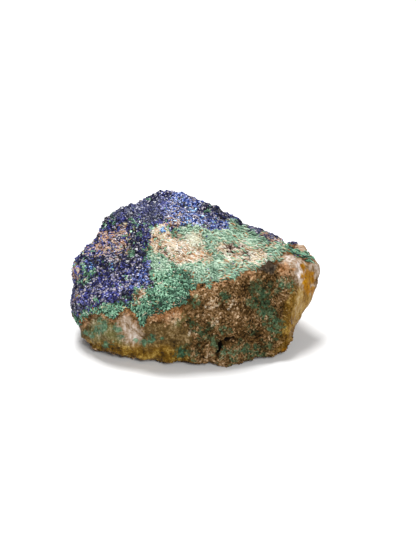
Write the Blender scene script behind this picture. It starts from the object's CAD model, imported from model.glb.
"""The looks of the azurite and malachite specimen.

The rock's fine surface stands in for the CAD solid, a little inside it. Azurite blades, malachite tufts,
pale fibres and quartz grains stand on it, each kind joined in one mesh, and reach out to about the solid's
surface. Which mineral lies where is typed in as outlines, discs and lines in the photograph's pixels, and as
balls behind. Lengths are in millimetres until a mesh is made, in the row frame: +X along the rock, +Y away
from the camera, +Z up.
"""

import math

import bmesh
import bpy
import numpy as np
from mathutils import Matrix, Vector


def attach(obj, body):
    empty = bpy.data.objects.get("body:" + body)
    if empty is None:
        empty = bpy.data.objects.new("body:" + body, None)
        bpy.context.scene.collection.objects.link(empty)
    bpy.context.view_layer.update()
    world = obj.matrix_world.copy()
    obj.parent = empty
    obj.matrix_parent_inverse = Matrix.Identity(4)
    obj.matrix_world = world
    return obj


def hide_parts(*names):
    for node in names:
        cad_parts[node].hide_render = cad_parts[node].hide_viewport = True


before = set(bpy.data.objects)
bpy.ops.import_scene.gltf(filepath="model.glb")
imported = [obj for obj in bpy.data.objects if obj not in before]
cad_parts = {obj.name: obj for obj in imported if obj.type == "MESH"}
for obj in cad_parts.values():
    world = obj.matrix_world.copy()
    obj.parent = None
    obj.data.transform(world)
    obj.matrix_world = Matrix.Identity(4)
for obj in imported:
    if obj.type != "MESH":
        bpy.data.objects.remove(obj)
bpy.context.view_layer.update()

MM = 0.001
NODE = "malachite_specimen"

# The photograph: its size in pixels, the lens, how far it looks down, and the scale at the rock.
PHOTO_WIDTH, PHOTO_HEIGHT = 416, 554
LENS, SENSOR = 120.0, 36.0
LOOKS_DOWN = math.radians(24.0)
MM_PER_PIXEL = 0.288
LOOKS_AT = np.array([3.61, -2.21, 19.13])

FORWARD = np.array([0.0, math.cos(LOOKS_DOWN), -math.sin(LOOKS_DOWN)])
UPWARD = np.array([0.0, math.sin(LOOKS_DOWN), math.cos(LOOKS_DOWN)])
CAMERA_DISTANCE = PHOTO_HEIGHT * MM_PER_PIXEL * LENS / SENSOR
CAMERA_PLACE = LOOKS_AT - FORWARD * CAMERA_DISTANCE

# The rock's surface.
GRID = 0.365  # size of its faces
SOFTEN, SOFTEN_NORMALS = 8, 6  # passes that smooth its coarse facets, and the directions of its relief
BASE_SNAP = 0.12  # what is lower than this lies flat on the base
ROSETTE, CUSHION = 1.25, 1.9  # width of a cluster of blades, and of a heap of tufts
CRACK_WIDTH, CRACK_DEPTH = 0.6, 1.4

# How high each mineral's own surface lies, from the solid's, and how far each kind of relief swings on it.
BARE_LEVEL, BARE_GRAIN, BARE_LEDGE, BARE_SWELL = -0.20, 0.16, 0.35, 0.25
SMOOTH_LEVEL, SMOOTH_SWELL, SMOOTH_LEDGE = 0.02, 0.16, 0.20
QUARTZ_LEVEL, QUARTZ_SWELL, QUARTZ_LEDGE = -0.02, 0.10, 0.12
AZURITE_LEVEL, AZURITE_ROSETTE, AZURITE_GRAIN, AZURITE_SWELL = -0.34, 0.36, 0.12, 0.26
MALACHITE_LEVEL, MALACHITE_CUSHION, MALACHITE_GRAIN = -0.56, 0.50, 0.20
CREAM_LEVEL, CREAM_GRAIN, CREAM_SWELL = -0.28, 0.14, 0.16
RIM_DEPTH, PIT_DEPTH, TONE_HEIGHT, LUMP_HEIGHT, PROUD_HEIGHT = 0.40, 0.50, 0.30, 0.65, 0.50

# The small pieces: how far apart, their sizes from least to most, and how far they bend at most.
TRIES = 6.0  # random places tried for each square of the spacing
BLADE_SPACING, BLADE_SCALE = 0.455, (0.7, 1.2)
BLADE_LENGTH, BLADE_WIDTH, BLADE_THICKNESS = (0.32, 0.76), (0.22, 0.58), (0.10, 0.20)
BLADE_LEAN, LEAN_STRAY = (48.0, 86.0), 15.0  # degrees from upright, from a rosette's middle to its edge
TUFT_SPACING, TUFT_LENGTH, TUFT_THICKNESS, TUFT_BEND = 0.56, (0.7, 1.5), (0.26, 0.56), 4.5
TUFTS_COMBED = (200.0, 225.0)  # the pixels across over which they turn from curled to combed
FIBRE_SPACING, FIBRE_LENGTH, FIBRE_THICKNESS, FIBRE_BEND = 0.38, (0.6, 1.9), (0.11, 0.29), 1.4
TUBE_SIDES = 4  # of a tuft or fibre
FLOW = np.array([0.93, -0.20, -0.32])  # which way the fibres lie
GRAIN_SPACING, GRAIN_SIZE, GRAIN_JITTER = 0.56, (0.20, 0.64), 0.06

# The floor and the studio lights, in metres and watts, and the light from all round.
FLOOR_REACH = 20.0
FLOOR_GLOW = (260.0, 1000.0, 0.0, 0.80)  # from and to how far off, in millimetres, and how strongly it glows
OVERHEAD_LIGHT = ((-0.10, 0.15, 0.80), 0.34, 8.5)  # place, size and power
FRONT_LIGHT = ((0.20, -0.75, 0.50), 0.28, 5.6)
LIT_PLACE = (0.0, 0.0, 0.02)
ROOM_LIGHT = 0.24

# Where each mineral lies, as outlines in the photograph's pixels.
AZURITE_PX = [
    (60, 311), (76, 316), (83, 311), (98, 308), (102, 303), (132, 303), (132, 295), (137, 288), (147, 287),
    (153, 281), (150, 262), (145, 250), (151, 238), (150, 229), (158, 224), (168, 222), (170, 229),
    (190, 223), (214, 231), (228, 229), (231, 221), (241, 226), (252, 232), (262, 238), (274, 243),
    (284, 242), (295, 225), (200, 160), (50, 160),
]
SLOPE_PX = [
    (70, 327), (70, 312), (98, 306), (102, 302), (133, 302), (132, 294), (137, 287), (148, 285), (153, 281),
    (148, 262), (144, 250), (150, 238), (149, 229), (166, 220), (200, 224), (230, 228), (232, 218),
    (250, 228), (268, 236), (284, 238), (290, 244), (296, 248.5), (303, 252.5), (314, 258), (312, 261),
    (303, 257), (294, 253), (284, 251), (280, 258), (275, 262), (262, 266), (257, 270), (246, 269),
    (240, 275), (230, 280), (213, 280), (211, 287), (206, 286), (204, 281), (198, 282), (198, 288),
    (190, 291), (190, 298), (183, 305), (170, 309), (163, 317), (157, 312), (147, 320), (141, 327),
    (137, 322), (136, 316), (130, 308), (124, 308), (113, 320), (108, 319), (102, 312), (94, 313), (84, 320),
    (78, 330),
]
CREAM_LEFT_PX = [
    (150, 229), (158, 223), (168, 222), (170, 231), (184, 238), (190, 231), (198, 231), (203, 236),
    (206, 243), (209, 250), (213, 258), (205, 262), (195, 262), (185, 264), (178, 265), (170, 262),
    (165, 256), (154, 254), (150, 246),
]
CREAM_RIGHT_PX = [
    (215, 248), (221, 242), (240, 240), (254, 245), (264, 247), (272, 254), (277, 258), (266, 261),
    (257, 266), (246, 264), (236, 262), (226, 260), (219, 256),
]
CREAM_NOTCH_PX = [(134, 303), (133, 295), (138, 289), (146, 287), (147, 293), (143, 299), (139, 304)]
QUARTZ_END_PX = [
    (275, 256), (279, 252), (288, 252), (294, 250), (296, 240), (330, 238), (330, 300), (310, 330),
    (300, 348), (292, 350), (288, 338), (289, 322), (291, 312), (294, 300), (297, 286), (295, 276),
    (287, 266), (276, 262),
]
QUARTZ_LEFT_PX = [
    (116, 322), (124, 313), (135, 319), (143, 331), (143, 344), (133, 350), (124, 343), (116, 332),
]
SMOOTH_PX = [
    (60, 328), (86, 323), (100, 318), (112, 323), (126, 314), (138, 326), (150, 324), (170, 323), (186, 326),
    (192, 340), (186, 352), (150, 370), (60, 370),
]
OLIVE_LEFT_PX = [(70, 336), (100, 341), (140, 346), (165, 346), (190, 350), (192, 375), (60, 375)]
OLIVE_RIGHT_PX = [
    (274, 362), (281, 340), (283, 322), (287, 302), (293, 288), (299, 286), (306, 288), (318, 296),
    (318, 330), (300, 370),
]
MINT_PX = [
    (180, 226), (192, 222), (232, 216), (268, 236), (281, 242), (284, 252), (278, 264), (250, 270),
    (232, 276), (206, 282), (196, 284), (190, 272), (178, 266), (206, 262), (210, 250), (198, 246),
    (184, 246),
]
MINT_LEFT_PX = [(149, 250), (158, 253), (170, 261), (168, 270), (158, 274), (152, 270)]

# Smaller places, as (x, y, radius) in the same pixels. LIGHT and DARK shade the colours and move the surface
# a little, and PROUD and SUNK only move it.
BRIGHT_BLUE_PX = [
    (182, 212, 16), (205, 220, 15), (222, 226, 9), (180, 196, 6), (196, 206, 14), (140, 282, 11),
    (92, 266, 6), (148, 274, 8), (163, 229, 3),
]
DULL_PX = [
    (128, 204, 11), (142, 203, 12), (155, 206, 11), (116, 212, 8), (150, 214, 9), (136, 214, 8),
    (252, 229, 6), (262, 234, 7), (272, 238, 7), (281, 240, 4),
]
SPECKLED_PX = [(100, 291, 24), (128, 289, 18), (84, 299, 12), (186, 214, 24), (207, 222, 14), (120, 240, 16)]
TAN_PX = [
    (123, 232, 4.5), (115, 236, 5), (117, 247, 5.5), (125, 247, 3), (118, 257, 2.5), (103, 238, 4),
    (105, 244, 4), (97, 248, 4.5), (104, 250, 4), (94, 244, 2), (76, 278, 3), (76, 299, 3), (76, 270, 2.5),
    (172, 223, 3), (176, 221, 2.5), (264, 236, 3), (273, 241, 4), (281, 243, 3), (88, 250, 3),
]
GREEN_FLECK_PX = [
    (113, 215, 2), (131, 219, 2), (104, 225, 2.5), (113, 222, 2.5), (135, 226, 2.5), (148, 224, 2),
    (138, 234, 2), (130, 252, 3), (100, 261, 2), (83, 264, 2.5), (83, 270, 3), (91, 274, 4), (80, 281, 3),
    (88, 279, 3), (128, 278, 2.5), (133, 281, 2), (95, 299, 1.5), (125, 298, 1.5), (145, 260, 2),
    (208, 209, 2), (234, 223, 3),
]
DARK_PX = [
    (291, 250, 4), (281, 251, 3), (186, 288, 4), (211, 279, 3), (134, 230, 3), (98, 272, 4), (318, 281, 3),
    (280, 350, 4), (190, 347, 4), (262, 251, 4), (119, 210, 4), (140, 268, 4), (152, 288, 4), (115, 228, 3),
    (278, 260, 5), (153, 197, 5), (113, 256, 4), (292, 279, 4), (178, 237, 4), (97, 269, 5), (112, 219, 6),
    (104, 224, 5), (130, 214, 5), (146, 217, 5), (156, 217, 4), (136, 244, 7), (133, 255, 7), (142, 252, 5),
    (148, 249, 3), (94, 260, 7), (104, 263, 7), (114, 264, 6), (84, 258, 5), (118, 258, 4), (86, 275, 5),
    (78, 284, 4), (75, 305, 5), (128, 295, 5), (205, 206, 6), (213, 210, 7), (222, 213, 7), (240, 223, 5),
    (252, 229, 5), (263, 234, 4), (271, 238, 4), (186, 276, 6), (193, 284, 5), (162, 303, 6), (156, 309, 4),
    (148, 312, 3), (186, 300, 6), (208, 284, 3), (184, 309, 5), (190, 320, 6), (225, 297, 4), (252, 293, 5),
    (262, 300, 8), (270, 285, 5), (282, 311, 4), (222, 343, 5), (246, 337, 8), (256, 334, 6), (262, 346, 6),
    (199, 347, 6), (180, 350, 5), (172, 344, 5), (92, 348, 3), (104, 349, 4), (116, 351, 3), (130, 353, 3),
    (160, 357, 3), (150, 334, 5), (150, 330, 6), (120, 351, 3), (208, 330, 5), (214, 271, 5), (203, 273, 3),
    (228, 268, 4), (256, 237, 4), (266, 243, 4),
]
LIGHT_PX = [
    (133, 279, 5), (129, 285, 4), (82, 269, 4), (165, 270, 5), (99, 318, 4), (108, 313, 4), (151, 322, 4),
    (180, 195, 5), (217, 221, 4), (88, 340, 4), (224, 293, 4), (100, 254, 4), (145, 276, 5), (118, 289, 6),
    (81, 300, 5), (107, 296, 4), (77, 274, 5), (102, 244, 4), (88, 250, 4), (165, 206, 6), (190, 216, 6),
    (176, 213, 5), (204, 222, 4), (197, 228, 6), (228, 247, 3), (317, 268, 4), (158, 225, 6), (190, 240, 8),
    (166, 242, 7), (192, 256, 6), (178, 246, 7), (160, 240, 5), (201, 267, 5), (218, 263, 4), (160, 262, 5),
    (168, 282, 5), (228, 257, 5), (250, 260, 6), (250, 244, 5), (205, 292, 6), (196, 294, 4), (222, 284, 4),
    (232, 278, 4), (243, 275, 4), (253, 275, 4), (214, 307, 6), (231, 304, 3), (215, 322, 5), (236, 317, 6),
    (205, 314, 5), (208, 350, 6), (224, 354, 7), (178, 316, 5), (170, 320, 4), (285, 260, 3), (236, 306, 4),
    (289, 278, 6), (153, 226, 5), (161, 223, 4), (127, 328, 6), (133, 338, 5), (303, 246, 5), (89, 324, 5),
    (187, 265, 6), (193, 262, 5), (220, 360, 7), (229, 289, 5), (141, 357, 4), (291, 298, 4), (156, 274, 5),
    (160, 288, 5), (196, 270, 4), (214, 287, 4),
]
RUST_PX = [
    (157, 236, 3), (201, 235, 4), (207, 254, 3), (186, 257, 4), (196, 250, 3), (253, 250, 3), (192, 275, 3),
    (206, 277, 3), (222, 273, 2.5), (240, 272, 4), (250, 273, 5), (85, 321, 4), (130, 313, 4), (158, 315, 6),
    (165, 315, 6), (175, 312, 7), (203, 287, 3), (214, 285, 3), (224, 281, 4), (138, 297, 6), (75, 278, 3),
    (75, 299, 3), (102, 243, 5), (291, 249, 3), (285, 270, 6), (292, 268, 3),
]
STAIN_PX = [
    (258, 290, 8), (264, 296, 8), (255, 302, 8), (263, 308, 9), (270, 315, 8), (276, 325, 8), (268, 322, 6),
    (276, 333, 5), (250, 330, 5), (245, 348, 6), (258, 352, 6), (268, 345, 5), (250, 356, 5), (225, 296, 4),
    (284, 284, 5), (290, 286, 4), (225, 332, 4), (208, 328, 4), (203, 335, 4), (212, 340, 4), (218, 353, 4),
    (232, 356, 6), (192, 353, 5), (180, 353, 4), (194, 303, 5), (192, 325, 5), (120, 336, 3),
]
GREEN_PATCH_PX = [
    (103, 327, 4), (100, 331, 3), (96, 330, 3), (105, 322, 3), (87, 334, 3.5), (92, 336, 2), (118, 330, 3),
    (115, 327, 2), (122, 336, 2.2), (144, 343, 3.5), (150, 341, 3), (153, 338, 2), (162, 338, 2),
    (105, 345, 3), (113, 343, 1.5), (81, 320, 2.5), (180, 354, 3), (188, 352, 3), (196, 354, 3),
    (136, 340, 1.5), (99, 320, 2.5), (270, 285, 3), (263, 292, 3), (276, 290, 2.5), (258, 298, 3),
    (266, 303, 3), (272, 312, 2.5), (226, 296, 3), (231, 298, 2), (280, 283, 3), (284, 286, 2.5),
    (262, 313, 2.5), (275, 322, 3), (269, 328, 2.5), (246, 350, 3), (255, 347, 2.5),
]
BEIGE_PX = [
    (98, 328, 9), (110, 333, 9), (97, 338, 7), (118, 342, 6), (130, 344, 6), (182, 318, 5), (178, 322, 4),
]
OCHRE_PX = [
    (308, 274, 5), (309, 281, 6), (308, 289, 4.5), (303, 266, 2.5), (303, 276, 2), (285, 350, 3.5),
    (291, 250, 3.5), (310, 290, 5),
]
BLUE_SPOTS_PX = [(292, 242, 4.5), (163, 229, 2.8)]
SKY_BLUE_PX = [
    (163, 229, 3.5), (187, 222, 3.5), (192, 211, 3), (176, 219, 2), (202, 217, 2), (112, 266, 2),
    (90, 266, 3),
]
LUMPS_PX = [(207, 203, 4.5), (217, 207, 4), (292, 242, 4.5)]
PROUD_PX = [
    (99, 228, 7), (104, 221, 6), (120, 206, 5), (132, 203, 4), (74, 270, 4), (80, 326, 5), (84, 334, 5),
    (152, 194, 4), (159, 191, 4), (245, 223, 4), (255, 229, 5), (264, 232, 7), (272, 237, 6), (279, 241, 4),
    (297, 244, 4), (305, 248, 5), (311, 254, 5),
]
SUNK_PX = [
    (86, 248, 5), (141, 202, 4), (136, 205, 3), (87, 344, 6), (95, 350, 5), (74, 318, 4), (299, 322, 4),
    (294, 334, 5), (288, 344, 5),
]
KNOB_PX = [(270, 267, 7.5), (262, 268, 3.5)]
PIT_PX = [
    (163, 249, 4.5), (168, 255, 4), (171, 259, 3), (173, 263, 3), (177, 251, 2.5), (231, 249, 6.5),
    (239, 247, 5), (246, 254, 6), (247, 260, 3), (172, 236, 3), (219, 254, 2), (161, 240, 2),
]

# Lines in the same pixels: the white vein at the right end, glints on the brown face, and the crack in it.
VEIN_PX = [(288, 254), (296, 260), (299, 270), (300, 282), (301, 292), (298, 303), (296, 314)]
GLINTS_PX = [
    [(229, 309), (233, 301)], [(205, 307), (210, 307)], [(214, 307), (218, 306)], [(210, 302), (213, 300)],
    [(212, 326), (217, 321)], [(189, 335), (190, 332)], [(207, 357), (209, 355)], [(172, 317), (174, 314)],
]
CRACK_PX = [(217, 353), (221, 345), (226, 340), (234, 338.5)]

# Where the minerals go on behind: centre X, Y, Z and radius.
AZURITE_BACK = [(-13.8, 15.7, 39, 17), (-35.8, 3.7, 21, 12), (8.2, 16.7, 33, 7), (-26, 12, 28, 9)]
SLOPE_BACK = [
    (-3.8, 21.7, 25, 8), (22.2, 14.7, 25, 8), (10, 18, 27, 6), (-20, 19, 20, 6), (-31, 9, 11, 5.5),
    (5, 20, 27, 5), (17, 16, 26, 5),
]
CREAM_BACK = [(24, 16, 23, 4), (-5, 25, 24, 4)]
QUARTZ_BACK = [(34, 4, 14, 12), (6, 22, 6, 7), (13, 20, 4, 6), (-18, 20, 5, 5)]
RUST_BACK = [(10, 22, 17, 6), (-14, 22, 15, 5.5), (26, 10, 8, 5), (-28, 12, 5, 4)]
STAIN_BACK = [(14, 20, 15, 5), (-24, 16, 13, 5), (-6, 23, 12, 5), (30, 8, 21, 5), (22, 13, 12, 4)]
NOWHERE = [(0.0, 0.0, -90.0, 1.0)]
BEND, BEND_WIDTH = 3.6, 8.0  # how far these balls are bent out of round, and over what width
IN_VIEW = (-0.25, -0.02)  # how far a face turns to the camera where the balls give way to the photograph


# ---------- numbers
def ramp(value, low, high):
    """0 below low and 1 above high, with a smooth rise between."""
    share = np.clip((value - low) / (high - low), 0.0, 1.0)
    return share * share * (3.0 - 2.0 * share)


def unit(vectors):
    """The same vectors with a length of one."""
    return vectors / np.maximum(np.linalg.norm(vectors, axis=-1, keepdims=True), 1e-12)


def lattice(cells, seed):
    """A fixed random number, 0 to 1, for each whole-numbered cell: its numbers, scrambled."""
    wrapped = cells.astype(np.int64).astype(np.uint64) & np.uint64(0xFFFFFFFF)
    mixed = wrapped[..., 0] * np.uint64(0x8DA6B343) + wrapped[..., 1] * np.uint64(0xD8163841)
    mixed += wrapped[..., 2] * np.uint64(0xCB1AB31F) + np.uint64(seed) * np.uint64(0x9E3779B9)
    for shift, factor in ((15, 0x2C1B3C6D), (12, 0x297A2D39), (15, 0x1B56C4E9)):
        mixed &= np.uint64(0xFFFFFFFF)
        mixed ^= mixed >> np.uint64(shift)
        mixed *= np.uint64(factor)
    return ((mixed >> np.uint64(7)) & np.uint64(0xFFFFFF)) / float(0xFFFFFF)


def smooth_noise(points, width, seed):
    """Noise whose swings are about this wide: -1 to 1."""
    scaled = points / width
    cell = np.floor(scaled)
    share = scaled - cell
    share = share * share * (3.0 - 2.0 * share)
    total = np.zeros(len(points))
    for corner in np.ndindex(2, 2, 2):
        weight = np.prod(np.where(corner, share, 1.0 - share), axis=1)
        total += weight * lattice(cell + corner, seed)
    return 2.0 * total - 1.0


def fractal(points, width, octaves, seed):
    """Noise with finer noise on it, each layer half as wide and half as high: about -1 to 1."""
    total = np.zeros(len(points))
    for layer in range(octaves):
        total += smooth_noise(points, width / 2**layer, seed + layer) / 2**layer
    return total


def crystal_cells(points, width, seed):
    """Packed crystals: how far off the two nearest centres are, the way from the nearest, its number."""
    scaled = points / width
    home = np.floor(scaled)
    nearest = np.full(len(points), 9.0)
    second = np.full(len(points), 9.0)
    away = np.zeros_like(points)
    number = np.zeros(len(points))
    for corner in np.ndindex(3, 3, 3):
        cell = home + corner - 1.0
        jitter = np.stack([lattice(cell, seed + axis) for axis in range(3)], axis=1)
        offset = scaled - cell - jitter
        distance = np.linalg.norm(offset, axis=1)
        closer = distance < nearest
        second = np.where(closer, nearest, np.minimum(second, distance))
        nearest = np.where(closer, distance, nearest)
        away[closer] = offset[closer]
        number[closer] = jitter[closer, 0]
    return nearest, second, away, number


def facet_relief(points, width, seed):
    """A tilted facet for each crystal, with grooves between: about -1 to 1."""
    nearest, second, away, number = crystal_cells(points, width, seed)
    tilt = [np.sin(number * 91.0), np.sin(number * 57.0 + 1.0), np.sin(number * 33.0 + 2.0)]
    groove = ramp(second - nearest, 0.0, 0.25) - 0.7
    return (away * np.stack(tilt, axis=1)).sum(axis=1) + 0.5 * groove + 0.6 * (number - 0.5)


# ---------- places in the photo
def photo_pixels(points):
    """Where points show in the photograph: x and y in its pixels."""
    seen = points - CAMERA_PLACE
    depth = seen @ FORWARD
    pixels_at_one = LENS / SENSOR * PHOTO_HEIGHT
    x = PHOTO_WIDTH / 2 + seen[:, 0] / depth * pixels_at_one
    y = PHOTO_HEIGHT / 2 - seen @ UPWARD / depth * pixels_at_one
    return x, y


def line_distance(x, y, start, end):
    """How far points are from the line between two others."""
    run, rise = end[0] - start[0], end[1] - start[1]
    share = np.clip(((x - start[0]) * run + (y - start[1]) * rise) / (run * run + rise * rise), 0.0, 1.0)
    return np.hypot(x - start[0] - share * run, y - start[1] - share * rise)


def depth_inside(x, y, outline):
    """How far points lie inside a closed outline, negative outside it."""
    inside = np.zeros(len(x), bool)
    nearest = np.full(len(x), np.inf)
    for start, end in zip(outline, outline[1:] + outline[:1]):
        nearest = np.minimum(nearest, line_distance(x, y, start, end))
        if start[1] != end[1]:
            spans = (start[1] > y) != (end[1] > y)
            crossing = start[0] + (y - start[1]) * (end[0] - start[0]) / (end[1] - start[1])
            inside ^= spans & (x < crossing)
    return np.where(inside, nearest, -nearest)


def depth_in_discs(x, y, discs):
    """How far points lie inside the nearest of some discs, negative outside."""
    depth = np.full(len(x), -np.inf)
    for disc_x, disc_y, radius in discs:
        depth = np.maximum(depth, radius - np.hypot(x - disc_x, y - disc_y))
    return depth


def depth_in_balls(points, balls):
    """How far points lie inside the nearest of some balls, negative outside."""
    depth = np.full(len(points), -np.inf)
    for *centre, radius in balls:
        depth = np.maximum(depth, radius - np.linalg.norm(points - np.array(centre), axis=1))
    return depth


class Places:
    """Points on the rock, and how deep inside each place of a mineral or stain they lie."""

    def __init__(self, points, normals):
        self.points = points
        self.x, self.y = photo_pixels(points)
        facing = (normals * unit(CAMERA_PLACE - points)).sum(axis=1)
        self.in_view = ramp(facing, *IN_VIEW)
        self.slow = fractal(points, 1.6, 2, 11)
        self.fray = fractal(points, 0.7, 2, 12)

    def depth_behind(self, balls):
        """How far points lie inside some balls that are bent well out of round."""
        bends = [fractal(self.points, BEND_WIDTH, 2, 21 + 2 * axis + len(balls)) for axis in range(3)]
        return depth_in_balls(self.points + BEND * np.stack(bends, axis=1), balls)

    def depth(self, shapes, back=NOWHERE, wander=0.5, fray=0.5):
        """How deep, in millimetres, inside outlines or discs of the photograph, and inside balls behind.

        The edge wanders by one number, and frays finely by the other.
        """
        if isinstance(shapes[0], list):
            front = np.max([depth_inside(self.x, self.y, outline) for outline in shapes], axis=0)
        else:
            front = depth_in_discs(self.x, self.y, shapes)
        behind = self.depth_behind(back)
        depth = behind + (front * MM_PER_PIXEL - behind) * self.in_view
        return depth + wander * self.slow + fray * self.fray

    def share(self, shapes, shore, back=NOWHERE, wander=0.5, fray=0.5):
        """1 inside the same places and 0 outside, across a shore this wide."""
        return cover(self.depth(shapes, back, wander, fray), shore)

    def tone(self, light, dark):
        """How light or dark a place is, 1 to -1: from the discs in view, and by chance behind."""
        front = self.share(light, 2.4, fray=1.2) - self.share(dark, 2.4, fray=1.2)
        return front * self.in_view + 0.8 * fractal(self.points, 6.0, 2, 13) * (1.0 - self.in_view)

    def along(self, line):
        """How far in millimetres each point is from a line of the photograph, and far off behind."""
        gaps = [line_distance(self.x, self.y, start, end) for start, end in zip(line, line[1:])]
        gap = np.min(gaps, axis=0) * MM_PER_PIXEL + 0.12 * self.fray
        return gap + 9.0 * (1.0 - self.in_view)


def cover(depth, shore):
    """1 inside and 0 outside, across a shore this wide."""
    return ramp(depth, -shore / 2, shore / 2)


def find_minerals(points, normals):
    """The share of every mineral and stain at each point, by name, and how light and how proud it is."""
    places = Places(points, normals)
    share = places.share
    tan = share(TAN_PX, 0.5, fray=2.2)
    knob = share(KNOB_PX, 0.5, wander=0.2, fray=0.3)
    azurite_depth = places.depth([AZURITE_PX], AZURITE_BACK, 0.5, 0.9)
    azurite = np.maximum(cover(azurite_depth, 0.3), share(BLUE_SPOTS_PX, 0.3, fray=0.2))
    slope_depth = places.depth([SLOPE_PX], SLOPE_BACK, 0.5, 0.5)
    fringe = ramp(azurite_depth, -1.6, -1.0) * ramp(slope_depth, -2.2, -1.4)
    slope = np.maximum(cover(slope_depth, 0.4), fringe) * (1.0 - azurite) * (1.0 - knob)
    worn = [CREAM_LEFT_PX, CREAM_RIGHT_PX, CREAM_NOTCH_PX]
    cream = share(worn, 1.6, CREAM_BACK, 0.8, 0.9) * slope
    dusty = share([CREAM_RIGHT_PX], 1.6, wander=0.4, fray=0.25)
    rim = ramp(slope_depth, -1.6, -0.1) * (1.0 - slope) * (1.0 - azurite)
    bare = (1.0 - azurite) * (1.0 - slope)
    glint_gap = np.min([places.along(line) for line in GLINTS_PX], axis=0)
    tone = places.tone(LIGHT_PX, DARK_PX)
    return {
        "azurite": azurite * (1.0 - 0.6 * tan),
        "malachite": (slope - cream) * (1.0 - tan),
        "cream": np.maximum(cream, tan * np.maximum(azurite, slope) * 0.62),
        "tan": tan,
        "rim": rim,
        "bare": bare,
        "quartz": share([QUARTZ_END_PX, QUARTZ_LEFT_PX], 1.6, QUARTZ_BACK, 0.7, 0.8) * bare,
        "smooth": share([SMOOTH_PX], 1.2, wander=0.8, fray=0.25) * bare,
        "olive": share([OLIVE_LEFT_PX, OLIVE_RIGHT_PX], 3.0, wander=1.0, fray=0.25) * bare,
        "mint": share([MINT_PX, MINT_LEFT_PX], 2.0, SLOPE_BACK, 0.8, 0.25) * (1.0 - 0.8 * dusty),
        "rust": np.maximum(share(RUST_PX, 1.2, RUST_BACK, 0.8, 1.4), 0.7 * rim),
        "ochre": share(OCHRE_PX, 0.8) * (1.0 - azurite),
        "green": share(GREEN_PATCH_PX, 0.4, wander=0.3, fray=0.7) * bare,
        "stain": share(STAIN_PX, 1.6, STAIN_BACK, 0.8, 1.6) * bare,
        "beige": share(BEIGE_PX, 2.0, wander=1.0) * bare,
        "glint": (1.0 - ramp(glint_gap, 0.1, 0.45)) * bare,
        "vein": (1.0 - ramp(places.along(VEIN_PX) + 0.4 * places.fray, 0.0, 1.9)) * bare,
        "knob": knob * bare,
        "tone": tone,
        "pit": share(PIT_PX, 0.4, fray=1.3) * cream,
        "fleck": share(GREEN_FLECK_PX, 0.4, fray=0.7) * azurite,
        "bright": share(BRIGHT_BLUE_PX, 2.5, wander=1.0) * np.clip(1.0 + tone, 0.3, 1.0),
        "sky": share(SKY_BLUE_PX, 0.6, fray=0.8),
        "dull": share(DULL_PX, 3.0, wander=1.0),
        "lump": share(LUMPS_PX, 1.6, wander=0.2, fray=0.1),
        "proud": share(PROUD_PX, 1.6) - share(SUNK_PX, 1.6),
        "speckled": share(SPECKLED_PX, 3.0, AZURITE_BACK, wander=1.5),
        "crack": 1.0 - ramp(places.along(CRACK_PX), 0.25, CRACK_WIDTH),
    }


# ---------- the rock itself
class Surface:
    """The rock's fine surface: points, normals and four-cornered faces."""

    def __init__(self, points, faces):
        self.points = points
        self.faces = faces
        self.normals = self.find_normals()

    def face_crosses(self):
        """For each face, a vector along its normal and twice its area long."""
        corner = self.points[self.faces]
        return np.cross(corner[:, 2] - corner[:, 0], corner[:, 3] - corner[:, 1])

    def find_normals(self):
        """Normals of the points, from the faces round each."""
        return unit(self.sum_to_points(np.repeat(self.face_crosses(), 4, axis=0)))

    def sum_to_points(self, values):
        """Adds up what every face gives to each of its corners."""
        ends = self.faces.ravel()
        columns = [np.bincount(ends, values[:, axis], len(self.points)) for axis in range(values.shape[1])]
        return np.stack(columns, axis=1)

    def soft_normals(self, passes):
        """The normals, averaged with their neighbours'."""
        normals = self.normals
        for _ in range(passes):
            face_normals = unit(normals[self.faces].sum(axis=1))
            normals = unit(self.sum_to_points(np.repeat(face_normals, 4, axis=0)))
        return normals


def even_surface():
    """The CAD solid's form with small even faces and its coarse facets smoothed off."""
    mesh = bmesh.new()
    mesh.from_mesh(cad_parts[NODE].data)
    bmesh.ops.remove_doubles(mesh, verts=mesh.verts, dist=0.001 * MM)
    data = bpy.data.meshes.new("even")
    mesh.to_mesh(data)
    mesh.free()
    obj = in_scene("even", data)
    remesh = obj.modifiers.new("even", "REMESH")
    remesh.mode = "VOXEL"
    remesh.voxel_size = GRID * MM
    smooth = obj.modifiers.new("soften", "SMOOTH")
    smooth.iterations = SOFTEN
    bpy.context.view_layer.update()
    evaluated = obj.evaluated_get(bpy.context.evaluated_depsgraph_get())
    fine = evaluated.to_mesh()
    points = np.zeros(len(fine.vertices) * 3)
    fine.vertices.foreach_get("co", points)
    corners = np.zeros(len(fine.loops), np.int64)
    fine.loops.foreach_get("vertex_index", corners)
    evaluated.to_mesh_clear()
    bpy.data.objects.remove(obj)
    return Surface(points.reshape(-1, 3) / MM, corners.reshape(-1, 4))


def heaps(points, width, seed):
    """Round heaps pressed together: height and grooves, 0 to 1, the way from the middle, and a number."""
    nearest, second, away, number = crystal_cells(points, width, seed)
    height = (1.0 - np.minimum(1.0, 1.5 * nearest * nearest)) * (0.6 + 0.4 * number)
    return height, 1.0 - ramp(second - nearest, 0.0, 0.3), away, number


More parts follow.
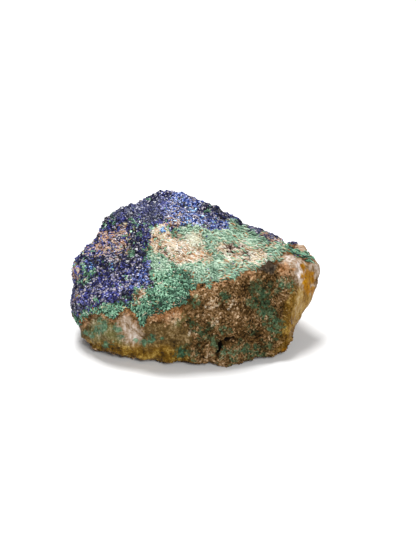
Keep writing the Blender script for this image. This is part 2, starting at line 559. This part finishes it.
def rock_relief(points, minerals):
    """How far the rock's own surface stands out of the solid's, mostly negative under what grows on it.

    It adds the way from each rosette's middle, the rosette's number and the grooves to the minerals.
    """
    fine = fractal(points, 0.9, 2, 201)
    coarse = fractal(points, 2.6, 3, 211)
    broad = fractal(points, 6.0, 2, 221)
    rosette, rosette_groove, minerals["away"], minerals["rosette"] = heaps(points, ROSETTE, 231)
    cushion, cushion_groove, *_ = heaps(points, CUSHION, 241)
    minerals["groove"] = rosette_groove * minerals["azurite"] + cushion_groove * minerals["malachite"]
    bare = BARE_LEVEL + BARE_GRAIN * facet_relief(points, 1.0, 251)
    bare = bare + BARE_LEDGE * facet_relief(points, 3.2, 252) + BARE_SWELL * coarse
    smooth = SMOOTH_LEVEL + SMOOTH_SWELL * coarse + SMOOTH_LEDGE * facet_relief(points, 4.5, 261)
    quartz = QUARTZ_LEVEL + QUARTZ_SWELL * coarse + QUARTZ_LEDGE * facet_relief(points, 3.0, 271)
    azurite = AZURITE_LEVEL + AZURITE_ROSETTE * rosette + AZURITE_GRAIN * fine + AZURITE_SWELL * broad
    malachite = MALACHITE_LEVEL + MALACHITE_CUSHION * cushion + MALACHITE_GRAIN * fine
    cream = CREAM_LEVEL + CREAM_GRAIN * fine + CREAM_SWELL * coarse
    height = bare + (smooth - bare) * minerals["smooth"]
    for cast, name in ((quartz, "quartz"), (malachite, "malachite"), (cream, "cream"), (azurite, "azurite")):
        height += (cast - height) * minerals[name]
    dents = CRACK_DEPTH * minerals["crack"] + RIM_DEPTH * minerals["rim"] + PIT_DEPTH * minerals["pit"]
    height = height - dents + TONE_HEIGHT * np.minimum(minerals["tone"], 0.3)
    return height + LUMP_HEIGHT * minerals["lump"] + PROUD_HEIGHT * minerals["proud"]


def shaped_rock():
    """The rock's surface with its relief, and the minerals at its points."""
    rock = even_surface()
    outward = rock.soft_normals(SOFTEN_NORMALS)
    minerals = find_minerals(rock.points, outward)
    base = rock.points[:, 2] < BASE_SNAP
    move = np.where(base, 0.0, rock_relief(rock.points, minerals))
    points = rock.points + outward * move[:, None]
    points[:, 2] = np.where(base, 0.0, np.maximum(points[:, 2], 0.0))
    return Surface(points, rock.faces), minerals


# ---------- small pieces
class Spots:
    """Places on the rock for small pieces: points, normals, and which of the rock's points is nearest.

    The weight at each of the rock's points is the chance that a place there is kept, of many random places
    with no two in one cube of the spacing. None is lower than lowest.
    """

    def __init__(self, rock, minerals, weight, lowest, spacing, seed):
        rng = np.random.default_rng(seed)
        weight = weight * (rock.points[:, 2] > lowest)
        area = np.linalg.norm(rock.face_crosses(), axis=1) / 2 * (weight[rock.faces].max(axis=1) > 0.01)
        count = int(TRIES * area.sum() / spacing**2)
        face = rng.choice(len(rock.faces), count, p=area / area.sum())
        u, v = rng.random((2, count))
        corners = rock.faces[face]
        corner = rock.points[corners]
        low = corner[:, 0] * column(1 - u) + corner[:, 1] * column(u)
        high = corner[:, 3] * column(1 - u) + corner[:, 2] * column(u)
        points = low * column(1 - v) + high * column(v)
        side = np.where(v < 0.5, np.where(u < 0.5, 0, 1), np.where(u < 0.5, 3, 2))
        nearest = corners[np.arange(count), side]
        _, first = np.unique(np.floor(points / spacing).astype(np.int64), axis=0, return_index=True)
        first = np.sort(first)
        first = first[rng.random(len(first)) < weight[nearest[first]]]
        self.points = points[first]
        self.nearest = nearest[first]
        self.normals = rock.normals[self.nearest]
        self.count = len(first)
        self.minerals = minerals
        self.rng = rng

    def drawn(self, low=0.0, high=1.0):
        """A random number for each spot."""
        return self.rng.uniform(low, high, self.count)

    def chosen(self, chance):
        """1 for the spots that chance picks, and 0 for the rest."""
        return 1.0 * (self.drawn() < chance)

    def scattered(self):
        """A random vector for each spot."""
        return self.rng.normal(size=(self.count, 3))

    def field(self, name):
        """One of the minerals' fields at each spot."""
        return self.minerals[name][self.nearest]

    def fields(self, *names):
        """Some of them, by name."""
        return {name: self.field(name) for name in names}


def column(values):
    """Numbers as a column, to multiply vectors by."""
    return values[:, None]


def off_axis(vectors, axis):
    """The part of each vector that is square to its axis, with a length of one."""
    return unit(vectors - axis * column((vectors * axis).sum(axis=1)))


def join_copies(name, points, faces, fields, smooth):
    """One piece of many small ones. points is (pieces, points of one, 3), and faces are those of one."""
    pieces, per_piece = points.shape[:2]
    points = points.reshape(-1, 3).copy()
    points[:, 2] = np.maximum(points[:, 2], 0.0)
    sizes = np.tile([len(face) for face in faces], pieces)
    corners = np.concatenate([np.array(face) for face in faces])
    every = (corners[None] + column(np.arange(pieces)) * per_piece).ravel()
    data = new_mesh(name, points, every, sizes, smooth)
    for field, values in fields.items():
        spread = values if values.ndim == 2 else np.repeat(column(values), per_piece, axis=1)
        write_field(data, field, spread.ravel())
    return ride_on_rock(in_scene(name, data))


def new_mesh(name, points, corners, sizes, smooth):
    """A mesh of faces with these corners, one face after another, each with its number of corners."""
    data = bpy.data.meshes.new(name)
    data.vertices.add(len(points))
    data.loops.add(len(corners))
    data.polygons.add(len(sizes))
    data.vertices.foreach_set("co", (points * MM).astype(np.float32).ravel())
    data.loops.foreach_set("vertex_index", corners.astype(np.int32))
    data.polygons.foreach_set("loop_start", (np.cumsum(sizes) - sizes).astype(np.int32))
    data.update(calc_edges=True)
    data.polygons.foreach_set("use_smooth", np.full(len(sizes), smooth))
    return data


def write_field(data, name, values):
    """Keeps a number for each point of a mesh, for its material to read."""
    data.attributes.new(name, "FLOAT", "POINT").data.foreach_set("value", values.astype(np.float32))


def in_scene(name, data):
    """A new object in the scene."""
    obj = bpy.data.objects.new(name, data)
    bpy.context.scene.collection.objects.link(obj)
    return obj


def ride_on_rock(obj):
    """Makes a piece move with the rock and take its finish."""
    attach(obj, "root")
    return obj


def place_template(spots, template, sizes, wide, long):
    """Copies of a template, each turned to its own wide and long directions and scaled to its own sizes."""
    axes = np.stack([wide, np.cross(long, wide), long], axis=1)
    return spots.points[:, None] + (template[None] * sizes[:, None]) @ axes


# A blade's points, rooted a quarter of its length deep and ending in a wedge, its faces and how high each
# point is, 0 to 1, and a grain's points and faces.
SQUARE = [(-0.5, -0.5), (0.5, -0.5), (0.5, 0.5), (-0.5, 0.5)]
BLADE = np.array([(x, y, z) for z in (-0.25, 0.7) for x, y in SQUARE] + [(-0.3, 0.0, 1.0), (0.3, 0.0, 1.0)])
BOX_SIDES = [(0, 1, 5, 4), (1, 2, 6, 5), (2, 3, 7, 6), (3, 0, 4, 7)]
BLADE_FACES = [(3, 2, 1, 0), *BOX_SIDES, (4, 5, 9, 8), (6, 7, 8, 9), (5, 6, 9), (7, 4, 8)]
BLADE_HEIGHTS = [0.0] * 4 + [0.5] * 4 + [1.0] * 2
CHUNK = np.array([(x, y, z) for z in (-0.5, 0.5) for x, y in SQUARE])
CHUNK_FACES = [(3, 2, 1, 0), (4, 5, 6, 7), *BOX_SIDES]


def azurite_blades(rock, minerals):
    """The druse: wedge-ended blades round the middles of rosettes, leaning out of them."""
    weight = minerals["azurite"] * (1.0 - 0.3 * minerals["groove"]) + 0.03 * minerals["malachite"]
    spots = Spots(rock, minerals, weight, 0.6, BLADE_SPACING, 301)
    away = spots.field("away")
    out = off_axis(unit(away) + 0.35 * spots.scattered(), spots.normals)
    lean = np.interp(np.linalg.norm(away, axis=1), (0.0, 0.7), BLADE_LEAN)
    lean = np.radians(lean + spots.drawn(-LEAN_STRAY, LEAN_STRAY))
    long = unit(spots.normals * column(np.cos(lean)) + out * column(np.sin(lean)))
    wide = off_axis(np.cross(spots.normals, out) + 0.3 * spots.scattered(), long)
    sizes = np.stack([spots.drawn(*size) for size in (BLADE_WIDTH, BLADE_THICKNESS, BLADE_LENGTH)], axis=1)
    sizes = sizes * column(spots.drawn(*BLADE_SCALE))
    fields = spots.fields("bright", "sky", "dull", "groove", "tone")
    pale_rosette = spots.field("rosette") < 0.08 + 0.26 * spots.field("speckled")
    pale_share = np.where(pale_rosette, 0.65, 0.03 + 0.12 * fields["bright"]) * (1.0 - 0.6 * fields["dull"])
    fields["tint"] = spots.drawn()
    fields["pale"] = spots.chosen(pale_share)
    fields["fleck"] = spots.chosen(0.012 + 0.7 * spots.field("fleck"))
    fields["height"] = np.tile(BLADE_HEIGHTS, (spots.count, 1))
    points = place_template(spots, BLADE, sizes, wide, long)
    return join_copies("azurite_blades", points, BLADE_FACES, fields, False)


def tubes(spots, along, length, thick, bend, rise, rings):
    """Bent tapering tubes on the rock: their points, how high on its tube each is, and the faces of one."""
    side = np.cross(spots.normals, along)
    points, heights = [], []
    for step in np.linspace(-0.5, 0.5, rings):
        bulge = math.cos(math.pi * step)
        curl = 0.5 * length * bend * (step * step - 0.08)
        lift = thick * (rise * (0.3 + 0.7 * bulge) - 0.15)
        middle = along * column(length * step) + side * column(curl) + spots.normals * column(lift)
        heading = along * column(np.cos(bend * step)) + side * column(np.sin(bend * step))
        across = np.cross(spots.normals, heading)
        radius = thick * (0.40 + 0.60 * bulge) / 2
        for turn in np.linspace(0.0, 2.0 * math.pi, TUBE_SIDES, endpoint=False):
            spoke = across * math.cos(turn) + spots.normals * math.sin(turn)
            points.append(spots.points + middle + spoke * column(radius))
            heights.append(np.full(spots.count, (0.5 + 0.5 * math.sin(turn)) * (0.4 + 0.6 * bulge)))
    last = (rings - 1) * TUBE_SIDES
    faces = [tuple(range(TUBE_SIDES - 1, -1, -1)), tuple(range(last, last + TUBE_SIDES))]
    for ring in range(0, last, TUBE_SIDES):
        for turn in range(TUBE_SIDES):
            low, high = ring + turn, ring + (turn + 1) % TUBE_SIDES
            faces.append((low, high, high + TUBE_SIDES, low + TUBE_SIDES))
    return np.stack(points, axis=1), np.stack(heights, axis=1), faces


def lying(spots, scatter):
    """Directions along the rock that follow the flow, scattered by this much."""
    return off_axis(FLOW + scatter * spots.scattered(), spots.normals)


def malachite_tufts(rock, minerals):
    """The green crust: short curled rolls in heaps, and longer ones combed along the pale slope."""
    weight = np.maximum(minerals["malachite"], 0.5 * minerals["fleck"]) + 0.10 * minerals["cream"]
    weight = np.maximum(weight, 0.006 * minerals["azurite"]) * (1.0 - 0.4 * minerals["rust"])
    spots = Spots(rock, minerals, weight, 0.8, TUFT_SPACING, 401)
    combed = ramp(photo_pixels(rock.points)[0][spots.nearest], *TUFTS_COMBED)
    curled = unit(np.cross(spots.normals, spots.scattered()))
    along = unit(curled * column(1.0 - combed) + lying(spots, 0.35) * column(combed))
    along = off_axis(along, spots.normals)
    bend = spots.drawn(-TUFT_BEND, TUFT_BEND) * (1.0 - 0.6 * combed)
    length, thick = spots.drawn(*TUFT_LENGTH) * (1.0 + 0.6 * combed), spots.drawn(*TUFT_THICKNESS)
    points, heights, faces = tubes(spots, along, length, thick, bend, spots.drawn(0.1, 1.0), rings=5)
    fields = spots.fields("mint", "groove", "tone")
    fields["tint"] = spots.drawn()
    fields["rust"] = spots.chosen(0.003 + 0.03 * combed + 0.4 * spots.field("rust"))
    fields["cream"] = spots.chosen(0.005 + 0.05 * combed + 0.4 * spots.field("cream"))
    fields["height"] = heights
    return join_copies("malachite_tufts", points, faces, fields, True)


def pale_fibres(rock, minerals):
    """The straw and cream fibres where the crust is worn through, lying mostly one way."""
    weight = np.maximum(minerals["cream"] * (0.9 - 0.95 * minerals["pit"]), 0.04 * minerals["malachite"])
    spots = Spots(rock, minerals, weight, 0.8, FIBRE_SPACING, 501)
    length, thick = spots.drawn(*FIBRE_LENGTH), spots.drawn(*FIBRE_THICKNESS)
    bend = spots.drawn(-FIBRE_BEND, FIBRE_BEND)
    along = lying(spots, 0.5)
    points, heights, faces = tubes(spots, along, length, thick, bend, spots.drawn(0.1, 1.1), rings=4)
    fields = spots.fields("rust", "tan", "mint", "tone")
    fields["tone"] = fields["tone"] - spots.field("pit")
    fields["tint"] = spots.drawn()
    fields["height"] = heights
    return join_copies("pale_fibres", points, faces, fields, True)


# What the material of the rock and its grains reads.
ROCK_FIELDS = (
    "azurite", "malachite", "cream", "quartz", "smooth", "olive", "beige", "rust", "ochre", "stain", "green",
    "glint", "knob", "vein", "pit", "crack", "mint", "tone",
)


def quartz_grains(rock, minerals):
    """Angular grains on the bare breaks, coloured as the rock under them."""
    sleek = np.max([minerals["quartz"], minerals["smooth"], minerals["knob"]], axis=0)
    weight = minerals["bare"] * (1.0 - sleek) * (minerals["crack"] < 0.02)
    spots = Spots(rock, minerals, weight, 0.5, GRAIN_SPACING, 601)
    tilted = unit(spots.normals + 0.8 * spots.scattered())
    wide = off_axis(spots.scattered(), tilted)
    sizes = np.stack([spots.drawn(*GRAIN_SIZE) for _ in range(3)], axis=1)
    points = place_template(spots, CHUNK, sizes, wide, tilted)
    points = points + GRAIN_JITTER * spots.rng.normal(size=points.shape)
    fields = spots.fields(*ROCK_FIELDS)
    fields["tint"] = spots.drawn()
    return join_copies("quartz_grains", points, CHUNK_FACES, fields, False)


def rock_piece(rock, minerals):
    """The rock's own surface as a piece that stands for the solid."""
    data = new_mesh("rock", rock.points, rock.faces.ravel(), np.full(len(rock.faces), 4), True)
    for name in ROCK_FIELDS:
        write_field(data, name, minerals[name])
    write_field(data, "tint", crystal_cells(rock.points, 0.8, 701)[3])
    flatten_base(data)
    obj = ride_on_rock(in_scene("rock", data))
    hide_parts(NODE)
    return obj


def flatten_base(data):
    """Makes the faces of the flat base one face."""
    mesh = bmesh.new()
    mesh.from_mesh(data)
    flat = [face for face in mesh.faces if all(vertex.co.z == 0.0 for vertex in face.verts)]
    bmesh.ops.dissolve_faces(mesh, faces=flat, use_verts=False)
    mesh.to_mesh(data)
    mesh.free()


# ---------- materials
def paint(name):
    """A colour named RRGGBB, as the shader takes it."""
    values = [int(name[at : at + 2], 16) / 255 for at in (0, 2, 4)]
    return [v / 12.92 if v <= 0.04045 else ((v + 0.055) / 1.055) ** 2.4 for v in values] + [1.0]


class Shader:
    """A material's nodes, built one by one. The methods from field to layered give an output socket."""

    def __init__(self, name):
        self.material = bpy.data.materials.new(name)
        self.material.use_nodes = True
        self.tree = self.material.node_tree
        self.surface = self.tree.nodes["Principled BSDF"]
        place = self.node("TexCoord").outputs["Object"]
        self.place = self.node("VectorMath", {0: place, "Scale": 1.0 / MM}, operation="SCALE").outputs[0]

    def node(self, kind, values=(), **settings):
        """A new node of this kind, with its settings and the values of its inputs."""
        node = self.tree.nodes.new("ShaderNode" + kind)
        for name, setting in settings.items():
            setattr(node, name, setting)
        self.put(node, values)
        return node

    def put(self, node, values):
        """Sets inputs of a node, by name or number, to numbers or colours, or links other nodes to them."""
        for name, value in dict(values).items():
            if isinstance(value, bpy.types.NodeSocket):
                self.tree.links.new(value, node.inputs[name])
            else:
                node.inputs[name].default_value = value

    def field(self, name):
        """A number kept for each point of the mesh."""
        return self.node("Attribute", attribute_name=name).outputs["Fac"]

    def noise(self, width, detail=2.0, shift=0.0, stretch=None):
        """Noise whose swings are about this wide, in millimetres, spread to run from 0 to 1."""
        place = self.place
        if stretch:
            place = self.node("Mapping", {"Vector": place, "Scale": stretch}).outputs[0]
        values = {"Vector": place, "W": shift, "Scale": 1.0 / width, "Detail": detail}
        return self.ramp(self.node("TexNoise", values, noise_dimensions="4D").outputs["Fac"], 0.28, 0.72)

    def ramp(self, value, low, high, least=0.0, most=1.0):
        """least below low and most above high, with an even rise between."""
        return self.node("MapRange", enumerate((value, low, high, least, most))).outputs[0]

    def math(self, operation, first, second):
        """The result of one operation on two values."""
        return self.node("Math", {0: first, 1: second}, operation=operation).outputs[0]

    def times(self, first, second):
        """Their product."""
        return self.math("MULTIPLY", first, second)

    def total(self, start, *parts):
        """start, and each (value, weight) on top of it."""
        for value, weight in parts:
            start = self.math("ADD", start, self.times(value, weight))
        return start

    def mix(self, share, below, above):
        """below where the share is 0, and above where it is 1."""
        return self.node("Mix", {0: share, 6: below, 7: above}, data_type="RGBA").outputs[2]

    def palette(self, value, names):
        """Colours from dark to light, evenly spaced from value 0 to 1."""
        colours = names.split()
        node = self.node("ValToRGB", {0: value})
        stops = node.color_ramp.elements
        while len(stops) < len(colours):
            stops.new(0.5)
        for index, colour in enumerate(colours):
            stops[index].position = index / (len(colours) - 1)
            stops[index].color = paint(colour)
        return node.outputs[0]

    def layered(self, colour, *layers):
        """A colour with others laid over it in turn, each as its field's share and its strength say."""
        for name, strength, above in layers:
            colour = self.mix(self.times(self.field(name), strength), colour, above)
        return colour

    def finish(self, colour, roughness, bump, bump_height, specular=0.5):
        """Gives the surface its colour, roughness, bump, whose height is in millimetres, and gloss."""
        normal = self.node("Bump", {"Distance": bump_height * MM, "Height": bump}).outputs[0]
        self.put(self.surface, {"Base Color": colour, "Roughness": roughness, "Normal": normal})
        self.surface.inputs["Specular IOR Level"].default_value = specular
        return self.material


def rock_material():
    """The rock and its grains: every mineral and stain by its share, each laid over those before it."""
    shader = Shader("stained_rock")
    field, noise, palette = shader.field, shader.noise, shader.palette
    tint, mottle, fine = field("tint"), noise(2.2, 3.0, 1.0), noise(0.45, 2.0, 2.0)
    patchy = noise(0.8, 3.0, 5.0)
    drip = noise(1.1, 3.0, 8.0, stretch=(1.0, 1.0, 0.3))
    streak = noise(1.0, 3.0, 3.0, stretch=(1.2, 1.2, 0.35))
    tone = shader.times(field("tone"), 0.17)
    broad = noise(5.0, 2.0, 4.0)
    level = shader.total(tone, (broad, 0.20), (mottle, 0.30), (fine, 0.50), (tint, 0.52), (1.0, -0.275))
    calm = shader.total(tone, (mottle, 0.35), (drip, 0.55), (fine, 0.50), (1.0, -0.20))
    vein = field("vein")
    milky = shader.total(tone, (streak, 0.60), (mottle, 0.45), (fine, 0.30), (vein, 0.30), (1.0, -0.27))
    rusty = shader.total(0.0, (field("tone"), 0.35), (patchy, 0.6), (fine, 0.4))
    mossy = shader.total(tone, (patchy, 0.4), (fine, 0.3), (tint, 0.3))
    clear = palette(milky, "3E2A10 7A6040 9E8A76 BCAEA2 E0D8D4")
    amber = palette(milky, "3C2402 765418 9A7C44 BCA478")
    patch = palette(shader.total(-0.1, (mossy, 1.2)), "122214 2C4E38 547C60 92B094")
    crust = palette(patchy, "081812 1C3628 3E624C")
    mint = palette(patchy, "2C4232 68846E B0C6B0")
    colour = shader.layered(
        palette(level, "0E0902 34230A 5E4422 947450 D2B898"),
        ("smooth", 0.9, palette(calm, "1E1402 584420 A48C64")),
        ("beige", 0.85, palette(calm, "26280A 6E6A3E C8BEA4")),
        ("olive", 0.9, palette(calm, "180C00 6E4E0A C0A04E")),
        ("quartz", 1.0, shader.mix(field("olive"), clear, amber)),
        ("rust", shader.ramp(patchy, 0.1, 0.7, 0.2, 0.9), palette(rusty, "58320E 96643A CCA680")),
        ("ochre", 1.0, palette(calm, "543000 946200 C0921E")),
        ("stain", shader.ramp(patchy, 0.30, 0.5), palette(mossy, "14180A 303A22 546648 8AA080")),
        ("green", shader.ramp(field("smooth"), 0.0, 1.0, 0.35, 0.85), patch),
        ("cream", 1.0, palette(shader.total(tone, (patchy, 1.0)), "2C2016 84684C DCD0BA")),
        ("malachite", 1.0, shader.mix(field("mint"), crust, mint)),
        ("azurite", 1.0, palette(patchy, "04040C 10102A 2E2E5C")),
        ("glint", shader.ramp(fine, 0.3, 0.6, 0.0, 0.8), paint("D6C6AC")),
        ("knob", 0.9, palette(level, "16120E 2C261E 484036 6E6458")),
        ("pit", 1.0, palette(noise(0.6, 1.0, 7.0), "100A08 3C2A22 968274 E4D6D0")),
        ("crack", 1.0, paint("080502")),
    )
    sleek = shader.math("MAXIMUM", field("quartz"), field("smooth"))
    return shader.finish(colour, shader.ramp(sleek, 0.0, 1.0, 0.7, 0.4), noise(0.24, 3.0, 6.0), 0.10, 0.08)


def azurite_material():
    """The blades: deep blue, brighter towards the tip, some pale, some sky blue and some green."""
    shader = Shader("azurite")
    field, palette = shader.field, shader.palette
    tint, height, speck = field("tint"), field("height"), shader.noise(0.3, 2.0, 1.0)
    level = shader.total(
        -0.19, (tint, 0.45), (height, 0.50), (shader.noise(1.8, 2.0, 2.0), 0.25), (speck, 0.15),
        (field("groove"), -0.40), (field("tone"), 0.30),
    )
    colour = shader.layered(
        palette(level, "040510 101238 2A2E76 565AA8 B2B4D6"),
        ("bright", 0.8, palette(level, "080C24 203072 506CB8 90AADE E6EAF0")),
        ("sky", 1.0, palette(level, "184678 4888CC 96C4EC E2ECF4")),
        ("dull", 0.45, palette(speck, "424660 70748E")),
        ("pale", 1.0, palette(height, "2C2A54 847E92 F0E6DE")),
        ("fleck", 1.0, palette(tint, "1E402A 548868 AACCAE")),
    )
    shader.surface.inputs["IOR"].default_value = 1.6
    return shader.finish(colour, shader.ramp(speck, 0.0, 1.0, 0.18, 0.4), speck, 0.03)


def malachite_material():
    """The green rolls, paler on the pale slope, with a few rusty and cream ones."""
    shader = Shader("malachite")
    field, noise, palette = shader.field, shader.noise, shader.palette
    silk = noise(0.25, 3.0, 1.0)
    level = shader.total(
        -0.22, (field("height"), 0.65), (field("tint"), 0.30), (noise(3.0, 2.0, 2.0), 0.20), (silk, 0.20),
        (field("groove"), -0.30), (field("tone"), 0.25),
    )
    colour = shader.layered(
        palette(level, "081812 2C503C 649276 90BC9E C2DAC2"),
        ("mint", 1.0, palette(level, "2C4434 62846C 8CAA92 B0C7B0 CEDBCA")),
        ("rust", 1.0, palette(level, "462810 96663C D2A87A")),
        ("cream", 1.0, palette(level, "64563C B6AA88 E8E2CC")),
    )
    return shader.finish(colour, 0.55, silk, 0.05, 0.35)


def fibre_material():
    """The fibres: straw and cream ones, greenish ones on the pale slope, and tan ones in the azurite."""
    shader = Shader("pale_fibre")
    field, palette = shader.field, shader.palette
    tint, grain, tone = field("tint"), shader.noise(0.3, 3.0, 1.0), field("tone")
    soft, slow = shader.noise(1.6, 2.0, 2.0), shader.noise(2.4, 2.0, 3.0)
    level = shader.total(-0.05, (field("height"), 0.65), (soft, 0.25), (grain, 0.15), (tone, 0.2))
    kind = shader.total(0.0, (tint, 0.8), (slow, 0.2), (field("rust"), -0.4), (tone, 0.15))
    greenish = shader.mix(tint, paint("96B096"), paint("E2E8D6"))
    colour = shader.layered(
        palette(kind, "705036 C88E5C D2BA98 E2D7C4 ECE6DA F6F2EE"),
        ("mint", 0.6, greenish),
        ("tan", 1.0, palette(kind, "6E4C42 CE9670 DAB8A0 D6C6C0 ECE2DC")),
    )
    shadow = shader.mix(field("tan"), paint("3A2A1E"), paint("161222"))
    colour = shader.mix(shader.ramp(level, 0.05, 0.6), shadow, colour)
    return shader.finish(colour, 0.62, grain, 0.05, 0.35)


# ---------- floor, light and camera
def pale_floor():
    """A plain pale floor, which glows where it is too far off for the lights to keep it pale."""
    reach = 2.0 * FLOOR_REACH / MM
    points = np.array([(x * reach, y * reach, 0.0) for x, y in SQUARE])
    data = new_mesh("floor", points, np.arange(4), np.array([4]), False)
    floor = in_scene("floor", data)
    shader = Shader("floor")
    tone = shader.mix(shader.noise(40.0, 2.0), paint("ECECEC"), paint("F0F0F0"))
    far = shader.node("VectorMath", {0: shader.place}, operation="LENGTH").outputs["Value"]
    shader.put(shader.surface, {"Emission Strength": shader.ramp(far, *FLOOR_GLOW)})
    shader.material.cycles.emission_sampling = "NONE"
    data.materials.append(shader.finish(tone, 0.8, shader.noise(4.0), 0.02))


def aimed(name, data, place, direction):
    """A new light or camera at a place, turned this way."""
    obj = in_scene(name, data)
    obj.location = place
    obj.rotation_mode = "QUATERNION"
    obj.rotation_quaternion = Vector(direction).to_track_quat("-Z", "Y")
    return obj


def soft_light(name, place, size, power):
    """A square soft light that points at the rock."""
    data = bpy.data.lights.new(name, "AREA")
    data.size = size
    data.energy = power
    aimed(name, data, place, Vector(LIT_PLACE) - Vector(place))


def light_the_scene():
    """Two soft lights and an even light from all round."""
    soft_light("overhead", *OVERHEAD_LIGHT)
    soft_light("front", *FRONT_LIGHT)
    world = bpy.data.worlds.new("studio")
    world.use_nodes = True
    background = world.node_tree.nodes["Background"]
    background.inputs["Color"].default_value = (1.0, 1.0, 1.0, 1.0)
    background.inputs["Strength"].default_value = ROOM_LIGHT
    bpy.context.scene.world = world
    bpy.context.scene.view_settings.view_transform = "Standard"


def photo_camera():
    """A camera at the photograph's viewing angle."""
    data = bpy.data.cameras.new("camera")
    data.lens = LENS
    data.sensor_width = SENSOR
    data.clip_start = 0.01
    bpy.context.scene.camera = aimed("camera", data, CAMERA_PLACE * MM, FORWARD)


def main():
    photo_camera()
    light_the_scene()
    pale_floor()
    rock, minerals = shaped_rock()
    stained = rock_material()
    dressed = [
        (rock_piece(rock, minerals), stained),
        (azurite_blades(rock, minerals), azurite_material()),
        (malachite_tufts(rock, minerals), malachite_material()),
        (pale_fibres(rock, minerals), fibre_material()),
        (quartz_grains(rock, minerals), stained),
    ]
    for piece, material in dressed:
        piece.data.materials.append(material)
        print(piece.name, sum(len(face.vertices) - 2 for face in piece.data.polygons), "triangles")


main()
